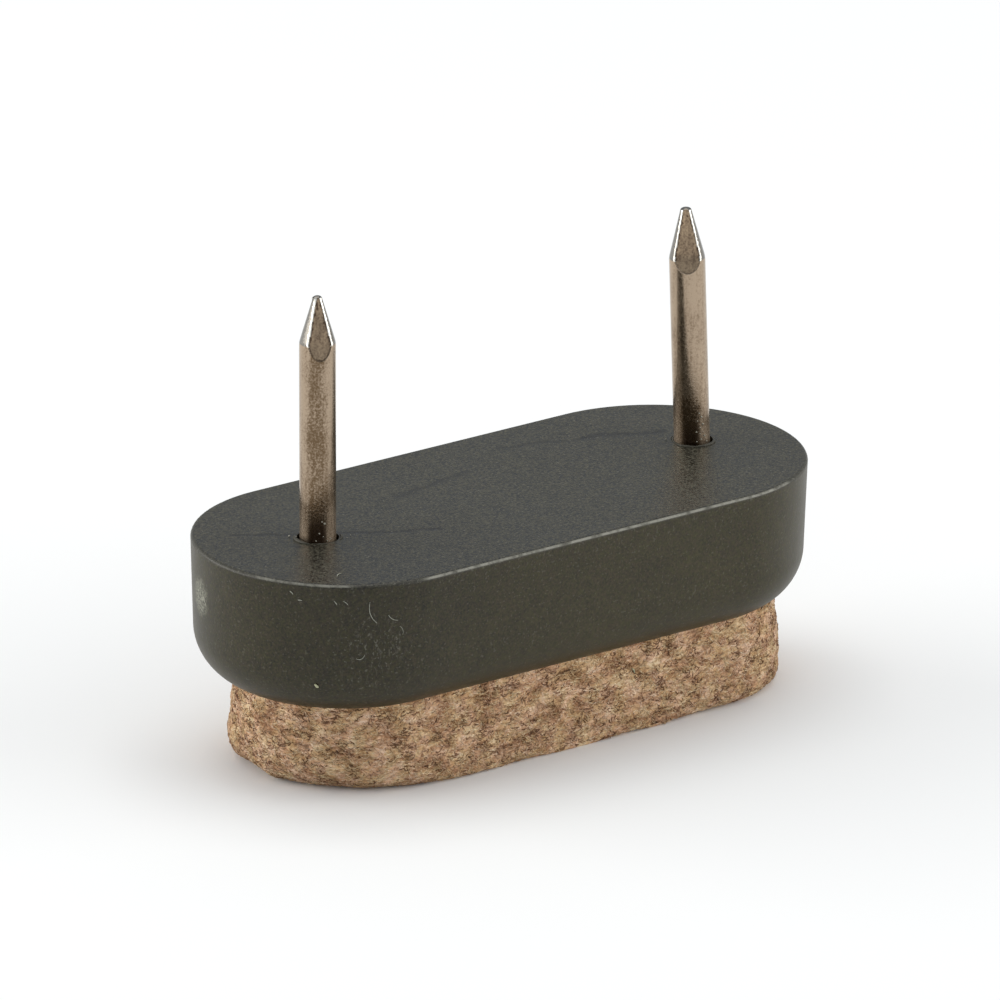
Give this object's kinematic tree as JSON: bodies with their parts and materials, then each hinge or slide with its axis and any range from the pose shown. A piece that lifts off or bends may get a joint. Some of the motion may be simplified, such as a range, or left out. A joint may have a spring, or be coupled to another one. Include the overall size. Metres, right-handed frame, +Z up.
{
  "type": "nail-on felt furniture glide",
  "caption": "Oblong round-ended plastic glide with a thick felt pad recessed underneath and nails standing up from its top face.",
  "frame": {"origin": "middle of the felt pad's sole, where the glide meets the floor", "axes": "+X along the glide's long side, +Y across it, +Z up through the body towards the nail points"},
  "size_m": [0.042, 0.0184, 0.0296],
  "materials": {
    "body_plastic": "satin dark grey moulding with faint flow marks and scuffs",
    "felt": "pressed wool felt, brown flecked with dark and pale fibres",
    "nail_metal": "bright nickel-plated steel with a warm tone, dulled near the base"
  },
  "bodies": {
    "root": {"glide_body": "body_plastic", "felt_pad": "felt", "nail_left": "nail_metal", "nail_right": "nail_metal"}
  },
  "joints": []
}
